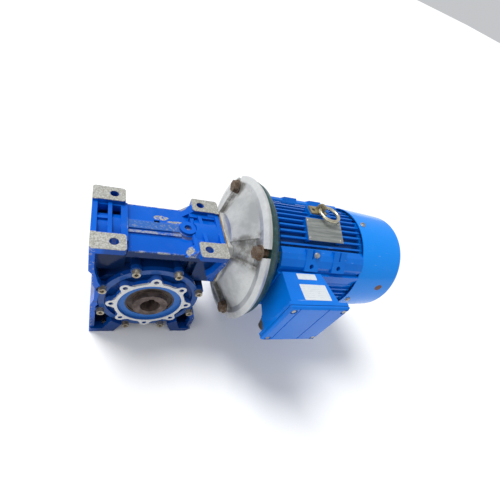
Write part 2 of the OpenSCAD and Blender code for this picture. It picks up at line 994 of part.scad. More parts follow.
module flange_bolts() {
    head_x = flange_face - flange_rim_t;
    color("rosybrown")
        on_worm_axis()
            flange_bolt_places() {
                translate([0, 0, head_x - 10])
                    cylinder(r = 10.2, h = 7.5, $fn = 6);
                translate([0, 0, head_x - 2.5])
                    cylinder(r = 12, h = 2.5);
                translate([0, 0, head_x - 4])
                    cylinder(r = 5.9, h = 27);
            }
}

// --- motor -------------------------------------------------------------------------

module motor_flange_shield() {
    seat_x = drive_bearing_x;
    color("darkslategray")
        difference() {
            union() {
                on_worm_axis()
                    rotate_extrude()
                        polygon([[16, flange_face - 4], [26, flange_face - 4],
                            [26, flange_face + 1], [78, flange_face + 1], [80, flange_face - 4],
                            [spigot_d / 2 - 0.05, flange_face - 4],
                            [spigot_d / 2 - 0.05, motor_face], [120, motor_face],
                            [120, motor_face + 4], [117, motor_face + 11],
                            [109, shield_back_x - 13], [97, shield_back_x - 12],
                            [88, shield_back_x - 1], [88, shield_back_x],
                            [frame_bore_r - 0.05, shield_back_x],
                            [frame_bore_r - 0.05, shield_back_x + 5], [72, shield_back_x + 5],
                            [72, motor_face + 14], [66, motor_face + 10],
                            [motor_bearing[1] + 8, motor_face + 10],
                            [motor_bearing[1] + 8, seat_x + motor_bearing[2] + 2],
                            [motor_bearing[1], seat_x + motor_bearing[2] + 2],
                            [motor_bearing[1], seat_x], [16, seat_x]]);
                shield_bolt_places()
                    translate([-12, -9, shield_back_x - 12])
                        cube([18, 18, 12]);
            }
            on_worm_axis()
                flange_bolt_places()
                    cylinder(r = 6, h = 300);
            // counterbored holes of the frame bolts
            shield_bolt_places() {
                translate([0, 0, shield_back_x - 20])
                    cylinder(r = 3, h = 30);
                translate([0, 0, flange_face - 8])
                    cylinder(r = 5.4, h = shield_back_x - 12 - flange_face + 8);
            }
        }
}

module shield_bolt_places() {
    on_worm_axis()
        for (a = rail_angles)
            rotate([0, 0, -a - 90])
                translate([shield_bolt_r, 0, 0])
                    children();
}

// Section of the finned frame, in the plane across the motor axis
module frame_section() {
    fin_t = 3;
    difference() {
        union() {
            circle(r = frame_wall_r);
            for (i = [0 : fin_places - 1])
                rotate([0, 0, i * 360 / fin_places])
                    translate([frame_wall_r - 2, -fin_t / 2])
                        square([fin_r - frame_wall_r + 2, fin_t]);
            for (a = rail_angles)
                rotate([0, 0, a + 90])
                    polygon([[76, -19], [rail_r - 5, -18], [rail_r, -12], [rail_r + 1, 0],
                        [rail_r - 1, 9], [rail_r - 7, 18], [76, 19]]);
            // seat of the terminal box
            rotate([0, 0, 90])
                translate([70, -46])
                    square([18.4, 92]);
        }
        circle(r = frame_bore_r);
    }
}

module motor_frame() {
    color(motor_blue)
        difference() {
            union() {
                on_worm_axis()
                    translate([0, 0, shield_back_x])
                        linear_extrude(height = frame_end_x - shield_back_x)
                            mirror([0, 1])
                                frame_section();
                // bosses for screw-on feet
                for (a = rail_angles)
                    for (x = [222, 276])
                        on_motor(a, rail_r - 14)
                            translate([x, -18, 0])
                                cube([26, 35, 15.6]);
                // seats of the rating plate
                on_motor(plate_angle, plate_r - 16)
                    for (x = [227, 289])
                        translate([x, -14, 0])
                            cube([8, 38, 15.9]);
                // boss under the lifting lug
                block([243, 2, centre_distance + frame_wall_r - 4], [287, 24, 187]);
            }
            // tapped holes and cast slots in the foot bosses
            for (a = rail_angles)
                for (x = [222, 276])
                    on_motor(a, rail_r - 9) {
                        translate([x + 13, -10, 0])
                            cylinder(r = 4, h = 12);
                        translate([x + 11, 2, 7])
                            cube([3, 17, 6]);
                    }
            for (x = [shield_back_x - 1, frame_end_x - 14])
                shield_bolt_places()
                    translate([0, 0, x])
                        cylinder(r = 2.5, h = 15);
            // machined seat and opening behind the terminal box
            block([shield_back_x - 1, -102, 43], [264, seat_y, 142.5]);
            translate([206, -100, centre_distance])
                rotate([-90, 0, 0])
                    cylinder(r = 14, h = 40);
            on_motor(plate_angle, plate_r)
                plate_rivet_places()
                    cylinder(r = 1.6, h = 10, center = true);
            // hole of the earth screw
            on_motor(47, rail_r - 14)
                translate([241, 0, 0])
                    cylinder(r = 3, h = 20);
            // screw hole under the lifting lug
            translate([252, 13, 176])
                cylinder(r = 3, h = 20);
        }
}

module stator_core() {
    slots = 24;
    color("slategray")
        on_worm_axis()
            translate([0, 0, core_x])
                linear_extrude(height = core_length)
                    difference() {
                        circle(r = frame_bore_r);
                        circle(r = stator_bore_r);
                        for (i = [0 : slots - 1])
                            rotate([0, 0, (i + 0.5) * 360 / slots])
                                translate([stator_bore_r - 1, -1])
                                    square([3.5, 2]);
                    }
}

// Wound end turns at both ends of the core
module stator_windings() {
    color("darkorange")
        on_worm_axis()
            for (x = [core_x - 22, core_x + core_length])
                translate([0, 0, x])
                    rotate_extrude()
                        polygon([[55, 0], [60, 0], [72, 3], [74, 8], [74, 14], [72, 19],
                            [60, 22], [55, 22]]);
}

module rotor_core() {
    color("gray")
        tube_x(core_x, core_x + core_length, rotor_r, core_shaft_r);
}

// Cast cage: end rings with balance blades
module rotor_cage() {
    blades = 9;
    color("lightgray")
        on_worm_axis()
            for (side = [0, 1])
                translate([0, 0, core_x + side * core_length])
                    mirror([0, 0, 1 - side]) {
                        difference() {
                            cylinder(r = 49, h = 7);
                            translate([0, 0, -overlap])
                                cylinder(r = 35, h = 9);
                        }
                        for (i = [0 : blades - 1])
                            rotate([0, 0, i * 360 / blades])
                                translate([37, -1.5, 6])
                                    cube([10, 3, 12]);
                    }
}

module rotor_shaft() {
    color("lightsteelblue")
        difference() {
            union() {
                bar_x(shaft_tip_x, drive_bearing_x, motor_shaft_d / 2);
                bar_x(drive_bearing_x, drive_bearing_x + motor_bearing[2], motor_bearing[0]);
                bar_x(drive_bearing_x + motor_bearing[2], fan_bearing_x, core_shaft_r);
                bar_x(fan_bearing_x, fan_bearing_x + motor_bearing[2], motor_bearing[0]);
                bar_x(fan_bearing_x + motor_bearing[2], shaft_tail_x, 12);
            }
            block([shaft_tip_x + 2, -4, centre_distance + motor_shaft_d / 2 - 4],
                [worm_end_x - 2, 4, centre_distance + motor_shaft_d]);
        }
}

module shaft_key() {
    color("darkgray")
        block([shaft_tip_x + 2, -4, centre_distance + motor_shaft_d / 2 - 4],
            [worm_end_x - 2, 4, centre_distance + motor_shaft_d / 2 + 3]);
}

module motor_bearing_outer_drive() {
    color("silver")
        on_worm_axis()
            translate([0, 0, drive_bearing_x])
                outer_ring(motor_bearing);
}

module motor_bearing_inner_drive() {
    color("silver")
        on_worm_axis()
            translate([0, 0, drive_bearing_x])
                inner_ring(motor_bearing);
}

module motor_bearing_outer_fan() {
    color("silver")
        on_worm_axis()
            translate([0, 0, fan_bearing_x])
                outer_ring(motor_bearing);
}

module motor_bearing_inner_fan() {
    color("silver")
        on_worm_axis()
            translate([0, 0, fan_bearing_x])
                inner_ring(motor_bearing);
}

module motor_bearing_balls() {
    color("gainsboro")
        on_worm_axis()
            for (x = [drive_bearing_x, fan_bearing_x])
                translate([0, 0, x])
                    balls_and_cage(motor_bearing);
}

module rear_end_shield() {
    hub_end = fan_bearing_x + motor_bearing[2] + 3;
    color(motor_blue)
        difference() {
            union() {
                bar_x(frame_end_x, frame_end_x + rear_shield_t, 87);
                bar_x(frame_end_x - 4, frame_end_x + overlap, frame_bore_r - 0.05);
                cone_x(frame_end_x + rear_shield_t - overlap, hub_end, 44, 38);
                shield_bolt_places()
                    translate([-12, -8, frame_end_x])
                        cube([17, 16, rear_shield_t]);
                for (a = cowl_screw_angles)
                    on_motor(a, 78)
                        translate([frame_end_x, -7, 0])
                            cube([18, 14, 15]);
            }
            bar_x(frame_end_x - 5, frame_end_x + 2, 70);
            bar_x(frame_end_x - 5, fan_bearing_x + motor_bearing[2], motor_bearing[1]);
            bar_x(frame_end_x - 5, hub_end + overlap, 16);
            shield_bolt_places()
                translate([0, 0, frame_end_x - 2])
                    cylinder(r = 3, h = 20);
            for (a = cowl_screw_angles)
                on_motor(a, 76)
                    translate([frame_end_x + 12, 0, 0])
                        cylinder(r = 2.45, h = 20);
        }
}

module end_shield_bolts() {
    color("darkgray")
        shield_bolt_places() {
            translate([0, 0, frame_end_x + rear_shield_t])
                shield_bolt();
            translate([0, 0, shield_back_x - 12])
                mirror([0, 0, 1])
                    shield_bolt();
        }
}

module shield_bolt() {
    difference() {
        cylinder(r = 4.6, h = 4);
        translate([0, 0, 1.6])
            cylinder(r = 2.4, h = 4, $fn = 6);
    }
    translate([0, 0, -21])
        cylinder(r = 2.45, h = 22);
}

module cooling_fan() {
    blades = 9;
    color("dimgray")
        difference() {
            union() {
                bar_x(fan_x - 6, fan_x + 20, 20);
                bar_x(fan_x - 2, fan_x + 1, 78);
                for (i = [0 : blades - 1])
                    on_worm_axis()
                        rotate([0, 0, i * 360 / blades])
                            translate([19, -1.25, fan_x])
                                cube([59, 2.5, 22]);
            }
            bar_x(fan_x - 7, fan_x + 40, 12);
        }
}

// Deep-drawn sheet cowl with slots in its end
module fan_cowl() {
    end_r = cowl_r - 5;
    corner = 9;
    arc_steps = 6;
    color(motor_blue)
        difference() {
            on_worm_axis()
                rotate_extrude()
                    polygon(concat(
                        [[cowl_r, frame_end_x], [end_r, cowl_end_x - corner]],
                        [for (i = [1 : arc_steps])
                            [end_r - corner + corner * cos(i * 90 / arc_steps),
                                cowl_end_x - corner + corner * sin(i * 90 / arc_steps)]],
                        [[0, cowl_end_x], [0, cowl_end_x - cowl_wall],
                            [end_r - corner, cowl_end_x - cowl_wall]],
                        [for (i = [arc_steps - 1 : -1 : 1])
                            [end_r - corner + (corner - cowl_wall) * cos(i * 90 / arc_steps),
                                cowl_end_x - corner + (corner - cowl_wall) * sin(i * 90 / arc_steps)]],
                        [[end_r - cowl_wall, cowl_end_x - corner],
                            [cowl_r - cowl_wall, frame_end_x]]));
            on_worm_axis()
                for (r = [24, 36, 48, 60, 72])
                    for (a = [0 : 45 : 315])
                        rotate([0, 0, a + 4])
                            translate([0, 0, cowl_end_x - 8])
                                rotate_extrude(angle = 37)
                                    translate([r, 0])
                                        square([6, 10]);
            for (a = cowl_screw_angles)
                on_motor(a, 80)
                    translate([frame_end_x + 12, 0, 0])
                        cylinder(r = 2.6, h = 30);
        }
}

module cowl_screws() {
    color("silver")
        for (a = cowl_screw_angles)
            on_motor(a, cowl_r - 0.3)
                translate([frame_end_x + 12, 0, 0]) {
                    difference() {
                        cylinder(r1 = 5, r2 = 3.6, h = 2.6);
                        translate([-4, -0.5, 1.4])
                            cube([8, 1, 3]);
                    }
                    translate([0, 0, -8])
                        cylinder(r = 2.4, h = 9);
                }
}

// --- terminal box ------------------------------------------------------------------

// Slab across Y, from corner [x, z] to corner [x, z]
module box_slab(low, high, y0, y1) {
    translate([low[0], y0, low[1]])
        cube([high[0] - low[0], y1 - y0, high[1] - low[1]]);
}

gland_places = [200, 238];
seat_y = -88;

module terminal_box() {
    color(motor_blue)
        difference() {
            union() {
                hull() {
                    box_slab([182, 64], [256, 141], seat_y - 1, seat_y);
                    box_slab([178, 47], [267, 142], box_rim_y, box_rim_y + 1);
                }
                box_slab([box_x[0], box_z[0]], [box_x[1], box_z[1]], box_rim_y - 1, box_rim_y + 5);
                for (x = gland_places)
                    translate([x, -120, 44])
                        cylinder(r = 16, h = 20);
            }
            hull() {
                box_slab([186, 68], [252, 137], seat_y - 4, seat_y - 3);
                box_slab([182, 52], [262, 138], box_rim_y - 2, box_rim_y - 1);
            }
            for (x = gland_places)
                translate([x, -120, 40])
                    cylinder(r = 10, h = 40);
            translate([206, -100, centre_distance])
                rotate([-90, 0, 0])
                    cylinder(r = 13, h = 40);
            lid_screw_places()
                cylinder(r = 2.4, h = 30, center = true);
        }
}

module lid_screw_places() {
    for (p = [[184, 132], [275, 134], [275, 46], [184, 46]])
        translate([p[0], box_rim_y, p[1]])
            rotate([90, 0, 0])
                children();
}

module terminal_box_gasket() {
    color("black")
        difference() {
            box_slab([box_x[0] + 1, box_z[0] + 1], [box_x[1] - 1, box_z[1] - 1],
                box_rim_y - 2, box_rim_y - 1);
            box_slab([box_x[0] + 8, box_z[0] + 15], [263, box_z[1] - 5],
                box_rim_y - 5, box_rim_y + 5);
            lid_screw_places()
                cylinder(r = 2.6, h = 30, center = true);
        }
}

module terminal_box_lid() {
    y1 = box_rim_y - 2;
    y0 = y1 - lid_t + 1;
    color(motor_blue)
        difference() {
            hull() {
                box_slab([box_x[0] + 3, box_z[0] + 3], [box_x[1] - 3, box_z[1] - 3], y0, y0 + 1);
                box_slab(box_corner_low(), box_corner_high(), y0 + 3, y1);
            }
            box_slab([box_x[0] + 12, box_z[0] + 16], [258, box_z[1] - 12], y1 - 3, y1 + 2);
            for (x = [191.5, 243])
                box_slab([x - 0.9, box_z[0] - 1], [x + 0.9, box_z[1] + 1], y0 - 1, y0 + 1.2);
            lid_screw_places() {
                cylinder(r = 2.6, h = 30, center = true);
                translate([0, 0, box_rim_y - y0 - 3])
                    cylinder(r = 5.6, h = 10);
            }
        }
}
function box_corner_low() = [box_x[0], box_z[0]];
function box_corner_high() = [box_x[1], box_z[1]];

module lid_screws() {
    color("silver")
        lid_screw_places() {
            translate([0, 0, 5])
                difference() {
                    cylinder(r1 = 4.6, r2 = 3.2, h = 2.6);
                    translate([-4, -0.5, 1.4])
                        cube([8, 1, 3]);
                }
            translate([0, 0, -4])
                cylinder(r = 2.3, h = 10);
        }
}

stud_x = [214, 228, 242];
stud_z = [94, 112];

module terminal_board() {
    color("maroon")
        difference() {
            union() {
                box_slab([204, 84], [250, 122], seat_y - 12, seat_y - 6);
                for (x = [207, 247])
                    translate([x, seat_y - 4, 103])
                        rotate([90, 0, 0])
                            cylinder(r = 2.5, h = 3);
            }
            for (x = stud_x)
                for (z = stud_z)
                    translate([x, seat_y, z])
                        rotate([90, 0, 0])
                            cylinder(r = 2.5, h = 20);
        }
}

module terminal_studs() {
    color("gold")
        for (x = stud_x)
            for (z = stud_z)
                translate([x, seat_y - 5, z])
                    rotate([90, 0, 0]) {
                        cylinder(r = 2.5, h = 22);
                        translate([0, 0, 7])
                            cylinder(r = 4.6, h = 4, $fn = 6);
                    }
}

// One cable gland with its through hole, and one blanking plug
module cable_gland() {
    color("dimgray") {
        translate([gland_places[0], -120, 44])
            mirror([0, 0, 1])
                difference() {
                    union() {
                        translate([0, 0, -14])
                            cylinder(r = 10, h = 14);
                        cylinder(r = 15, h = 7, $fn = 6);
                        translate([0, 0, 7])
                            cylinder(r1 = 13.5, r2 = 11, h = 16);
                    }
                    translate([0, 0, -15])
                        cylinder(r = 6.5, h = 40);
                }
        translate([gland_places[1], -120, 44])
            mirror([0, 0, 1]) {
                translate([0, 0, -10])
                    cylinder(r = 10, h = 10);
                cylinder(r = 13.5, h = 4);
            }
    }
}

// --- plate, screws and lifting ring ------------------------------------------------

plate_angle = 70;
plate_r = 96;

module nameplate() {
    color("darkgray")
        on_motor(plate_angle, plate_r)
            difference() {
                translate([227, -15, 0])
                    cube([70, 40, 1]);
                plate_rivet_places()
                    cylinder(r = 1.6, h = 10, center = true);
            }
}

module plate_rivet_places() {
    for (x = [231, 293])
        for (y = [-11, 20])
            translate([x, y, 0])
                children();
}

module nameplate_rivets() {
    color("silver")
        on_motor(plate_angle, plate_r)
            plate_rivet_places() {
                translate([0, 0, 1])
                    cylinder(r1 = 2.8, r2 = 1.6, h = 1.2);
                translate([0, 0, -3.2])
                    cylinder(r = 1.5, h = 4.4);
            }
}

module lifting_lug() {
    lug_t = 5;
    color("darkkhaki")
        difference() {
            union() {
                block([245, 4, 187], [276, 22, 190]);
                translate([ring_hole[0], ring_hole[1], 0])
                    rotate([0, 0, ring_turn])
                        translate([0, lug_t / 2, 0])
                            rotate([90, 0, 0]) {
                                translate([0, ring_hole[2], 0])
                                    cylinder(r = 7.8, h = lug_t);
                                translate([-7.8, 188, 0])
                                    cube([15.6, 7, lug_t]);
                            }
            }
            translate([ring_hole[0], ring_hole[1], ring_hole[2]])
                rotate([0, 0, ring_turn])
                    rotate([90, 0, 0])
                        cylinder(r = ring_wire_r + 0.9, h = 20, center = true);
            translate([252, 13, 170])
                cylinder(r = 3, h = 30);
        }
}

module lifting_ring() {
    color("beige")
        translate(ring_hole)
            rotate([0, 0, ring_turn])
                translate([ring_major_r, 0, 0])
                    rotate_extrude()
                        translate([ring_major_r, 0])
                            circle(r = ring_wire_r, $fn = 32);
}

module earth_screw() {
    color("whitesmoke")
        on_motor(47, rail_r + 2.5)
            translate([241, 0, 0]) {
                cylinder(r1 = 5, r2 = 3.4, h = 3);
                translate([0, 0, -12])
                    cylinder(r = 2.9, h = 13);
            }
}

gearbox_housing();
side_cover();
side_cover_o_ring();
side_cover_screws();
output_oil_seal_front();
output_oil_seal_rear();
output_bearing_outer_front();
output_bearing_outer_rear();
output_bearing_inner_front();
output_bearing_inner_rear();
output_bearing_balls();
output_shaft();
worm_wheel();
worm_shaft();
worm_bearing_outer_blind();
worm_bearing_outer_input();
worm_bearing_inner_blind();
worm_bearing_inner_input();
worm_bearing_balls();
worm_end_cap();
worm_retaining_rings();
input_oil_seal();
filler_plug();
drain_plugs();
housing_gasket();
input_flange();
input_flange_screws();
flange_gasket();
flange_bolts();
motor_flange_shield();
motor_frame();
stator_core();
stator_windings();
rotor_core();
rotor_cage();
rotor_shaft();
shaft_key();
motor_bearing_outer_drive();
motor_bearing_outer_fan();
motor_bearing_inner_drive();
motor_bearing_inner_fan();
motor_bearing_balls();
rear_end_shield();
end_shield_bolts();
cooling_fan();
fan_cowl();
cowl_screws();
terminal_box();
terminal_box_gasket();
terminal_box_lid();
lid_screws();
terminal_board();
terminal_studs();
cable_gland();
nameplate();
nameplate_rivets();
lifting_lug();
lifting_ring();
earth_screw();
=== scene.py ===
"""Looks for a worm gear motor: worn blue castings, a bare aluminium bell flange and a finned motor."""
import json
import math

import bmesh
import bpy
from mathutils import Matrix, Vector

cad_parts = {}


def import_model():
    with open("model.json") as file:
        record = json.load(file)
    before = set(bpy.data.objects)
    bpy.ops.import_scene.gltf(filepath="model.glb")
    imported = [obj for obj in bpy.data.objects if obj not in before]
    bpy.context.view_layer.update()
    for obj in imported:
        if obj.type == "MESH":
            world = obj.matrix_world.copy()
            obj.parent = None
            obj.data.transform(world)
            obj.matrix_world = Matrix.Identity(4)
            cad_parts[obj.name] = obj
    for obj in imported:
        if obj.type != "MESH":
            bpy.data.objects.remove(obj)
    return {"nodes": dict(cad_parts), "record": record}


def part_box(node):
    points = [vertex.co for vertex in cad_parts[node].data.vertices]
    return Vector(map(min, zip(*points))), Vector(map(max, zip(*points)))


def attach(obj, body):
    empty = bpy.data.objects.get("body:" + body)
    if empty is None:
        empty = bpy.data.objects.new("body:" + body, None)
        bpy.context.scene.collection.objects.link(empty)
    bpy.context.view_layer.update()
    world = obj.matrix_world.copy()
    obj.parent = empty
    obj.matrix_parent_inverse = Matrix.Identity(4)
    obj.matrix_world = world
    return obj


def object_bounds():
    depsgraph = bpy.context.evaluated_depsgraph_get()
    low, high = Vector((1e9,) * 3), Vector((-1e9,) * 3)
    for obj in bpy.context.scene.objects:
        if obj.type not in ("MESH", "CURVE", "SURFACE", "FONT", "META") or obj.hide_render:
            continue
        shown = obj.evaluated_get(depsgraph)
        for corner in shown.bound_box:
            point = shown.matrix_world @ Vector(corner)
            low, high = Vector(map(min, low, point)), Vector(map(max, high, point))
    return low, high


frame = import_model()
cad_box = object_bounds()
nodes = frame["nodes"]

# Places on the castings that the masks below refer to, in metres
AXIS_Z = 0.090          # worm and motor axis
PAD_FACE_Z = 0.135      # machined faces of the top pads
FOOT_FACE_Z = -0.103    # machined faces of the feet
DECK_Z = 0.118          # deck between the pads
DECK_EDGE_Y = 0.050     # front and rear edges of the deck
BAR_TOP_Z = 0.124       # raised bar along the deck
STRIP_TOP_Z = 0.1215    # low strip in front of the bar
RING_FACE_Y = 0.067     # machined rings of the output flanges
REGISTER_R = 0.055      # inside of those rings
HOUSING_FACE_X = 0.103  # face that the input flange is bolted to
COWL_X = 0.341          # open end of the fan cowl


# --- node graph helpers ---------------------------------------------------------------------

class Graph:
    """A material's node tree, with short calls for the nodes used here."""

    def __init__(self, name):
        self.mat = bpy.data.materials.new(name)
        self.mat.use_nodes = True
        self.tree = self.mat.node_tree
        self.bsdf = self.tree.nodes["Principled BSDF"]
        self.coord = self.tree.nodes.new("ShaderNodeTexCoord").outputs["Object"]
        split = self.tree.nodes.new("ShaderNodeSeparateXYZ")
        self.link(self.coord, split.inputs[0])
        self.x, self.y, self.z = split.outputs

    def link(self, a, b):
        self.tree.links.new(a, b)

    def put(self, value, socket):
        if isinstance(value, bpy.types.NodeSocket):
            self.link(value, socket)
        elif isinstance(value, (tuple, list)) and len(value) == 3 and socket.type == "RGBA":
            socket.default_value = (*value, 1.0)
        else:
            socket.default_value = value

    def noise(self, scale, detail=4.0, rough=0.55, vector=None):
        n = self.tree.nodes.new("ShaderNodeTexNoise")
        n.inputs["Scale"].default_value = scale
        n.inputs["Detail"].default_value = detail
        n.inputs["Roughness"].default_value = rough
        self.link(vector or self.coord, n.inputs["Vector"])
        return n.outputs["Fac"]

    def bands(self, direction, scale, distortion):
        """Soft stripes across one axis."""
        n = self.tree.nodes.new("ShaderNodeTexWave")
        n.bands_direction = direction
        n.inputs["Scale"].default_value = scale
        n.inputs["Distortion"].default_value = distortion
        self.link(self.coord, n.inputs["Vector"])
        return n.outputs["Fac"]

    def stretched(self, sx, sy, sz):
        """Coordinates scaled along each axis, to draw a noise out into streaks."""
        n = self.tree.nodes.new("ShaderNodeMapping")
        n.inputs["Scale"].default_value = (sx, sy, sz)
        self.link(self.coord, n.inputs["Vector"])
        return n.outputs[0]

    def math(self, op, a, b=0.0):
        n = self.tree.nodes.new("ShaderNodeMath")
        n.operation = op
        self.put(a, n.inputs[0])
        self.put(b, n.inputs[1])
        return n.outputs[0]

    def step(self, value, low, high):
        """0 below low, 1 above high, smooth between; low above high turns it round."""
        n = self.tree.nodes.new("ShaderNodeMapRange")
        n.interpolation_type = "SMOOTHSTEP"
        self.put(value, n.inputs["Value"])
        if low > high:
            low, high = high, low
            n.inputs["To Min"].default_value = 1.0
            n.inputs["To Max"].default_value = 0.0
        n.inputs["From Min"].default_value = low
        n.inputs["From Max"].default_value = high
        return n.outputs["Result"]

    def scale_to(self, value, low, high):
        n = self.tree.nodes.new("ShaderNodeMapRange")
        self.put(value, n.inputs["Value"])
        n.inputs["To Min"].default_value = low
        n.inputs["To Max"].default_value = high
        return n.outputs["Result"]

    def mix(self, fac, a, b):
        n = self.tree.nodes.new("ShaderNodeMix")
        n.data_type = "RGBA"
        self.put(fac, n.inputs[0])
        self.put(a, n.inputs[6])
        self.put(b, n.inputs[7])
        return n.outputs[2]

    def mixf(self, fac, a, b):
        """Mix of two plain numbers."""
        n = self.tree.nodes.new("ShaderNodeMix")
        n.data_type = "FLOAT"
        self.put(fac, n.inputs[0])
        self.put(a, n.inputs[2])
        self.put(b, n.inputs[3])
        return n.outputs[0]

    def times(self, a, b):
        return self.math("MULTIPLY", a, b)

    def radius(self, a, b):
        """Distance from an axis, given the two coordinates across it."""
        return self.math("SQRT", self.math("ADD", self.times(a, a), self.times(b, b)))

    def tint(self, base, mask, amount, colour):
        """Base turned towards a colour, by at most amount where the mask is 1."""
        return self.mix(self.times(mask, amount), base, colour)

    def both(self, *masks):
        """Where all the masks are 1; plain factors may stand among them."""
        out = masks[0]
        for m in masks[1:]:
            out = self.times(out, m)
        return out

    def either(self, *masks):
        """Where any of the masks is 1."""
        out = masks[0]
        for m in masks[1:]:
            out = self.math("MAXIMUM", out, m)
        return out

    def near(self, point, radii, edge=0.25, rough=0.0, scale=60.0):
        """A ragged spot: 1 within an ellipsoid of those radii round a point."""
        terms = []
        for socket, p, r in zip((self.x, self.y, self.z), point, radii):
            d = self.math("DIVIDE", self.math("SUBTRACT", socket, p), r)
            terms.append(self.times(d, d))
        d2 = self.math("ADD", self.math("ADD", terms[0], terms[1]), terms[2])
        if rough:
            n = self.noise(scale, 4.0, 0.6)
            d2 = self.math("ADD", d2, self.times(self.math("SUBTRACT", n, 0.5), rough))
        return self.step(d2, 1.0 + edge, 1.0 - edge)

    def bump(self, height, strength, distance):
        n = self.tree.nodes.new("ShaderNodeBump")
        n.inputs["Strength"].default_value = strength
        n.inputs["Distance"].default_value = distance
        self.put(height, n.inputs["Height"])
        return n.outputs["Normal"]

    def facing(self):
        """How much the true surface faces up and towards +Y, each from -1 to 1."""
        geometry = self.tree.nodes.new("ShaderNodeNewGeometry")
        split = self.tree.nodes.new("ShaderNodeSeparateXYZ")
        self.link(geometry.outputs["True Normal"], split.inputs[0])
        return split.outputs[2], split.outputs[1]

    def set(self, **values):
        """Puts the values into the surface shader and returns the material."""
        for key, value in values.items():
            self.put(value, self.bsdf.inputs[key.replace("_", " ")])
        return self.mat


# --- materials --------------------------------------------------------------------------------

CAST_LIGHT = (0.52, 0.53, 0.50)
CAST_DARK = (0.25, 0.24, 0.21)
RUST = (0.115, 0.068, 0.038)


def cast_speckle(g):
    """Colour and height of bare, speckled cast aluminium."""
    grain = g.noise(420.0, 6.0, 0.7)
    blotch = g.noise(60.0, 4.0, 0.6)
    pits = g.step(g.noise(700.0, 3.0, 0.6), 0.60, 0.72)
    colour = g.mix(g.step(grain, 0.34, 0.68), CAST_DARK, CAST_LIGHT)
    colour = g.tint(colour, g.step(blotch, 0.52, 0.75), 0.55, (0.30, 0.28, 0.22))
    colour = g.tint(colour, pits, 0.6, (0.12, 0.11, 0.10))
    return colour, g.math("ADD", g.times(grain, 0.8), g.times(blotch, 0.4))


def cover_wear_and_shade(g, paint):
    """Paint of the side cover with its painted shade, and the mask of its machined ring and lugs."""
    radius = g.radius(g.x, g.z)
    ring = g.step(g.y, 0.0009 - RING_FACE_Y, 0.0006 - RING_FACE_Y)
    lip = g.both(g.step(g.y, 0.0040 - RING_FACE_Y, 0.0030 - RING_FACE_Y),
                 g.step(radius, 0.0640, 0.0610),
                 g.step(radius, REGISTER_R + 0.0002, REGISTER_R + 0.0006))
    # painted shade on the outer rim, rubbed face behind the lugs, clean blue inside the register
    paint = g.tint(paint, g.step(radius, 0.0740, 0.0780), 0.50, (0.004, 0.022, 0.080))
    rubbed = g.both(g.step(radius, 0.060, 0.063), g.step(g.y, -0.0572, -0.0578))
    paint = g.tint(paint, rubbed, 0.45, (0.055, 0.115, 0.26))
    inner = g.step(radius, REGISTER_R + 0.0003, REGISTER_R)
    paint = g.tint(paint, inner, 0.8, (0.040, 0.155, 0.43))
    # painted shade in the sunk ring behind the lugs
    painted_sunk_shade = g.both(g.step(radius, 0.0775, 0.0740),
                  g.step(radius, 0.0570, 0.0600),
                  g.step(g.y, -0.0580, -0.0565))
    paint = g.tint(paint, painted_sunk_shade, 0.72, (0.001, 0.012, 0.045))
    chips = g.both(g.step(g.noise(52.0, 6.0, 0.65), 0.66, 0.70), g.step(radius, 0.070, 0.080))
    return paint, g.either(ring, lip, g.times(chips, 0.7))


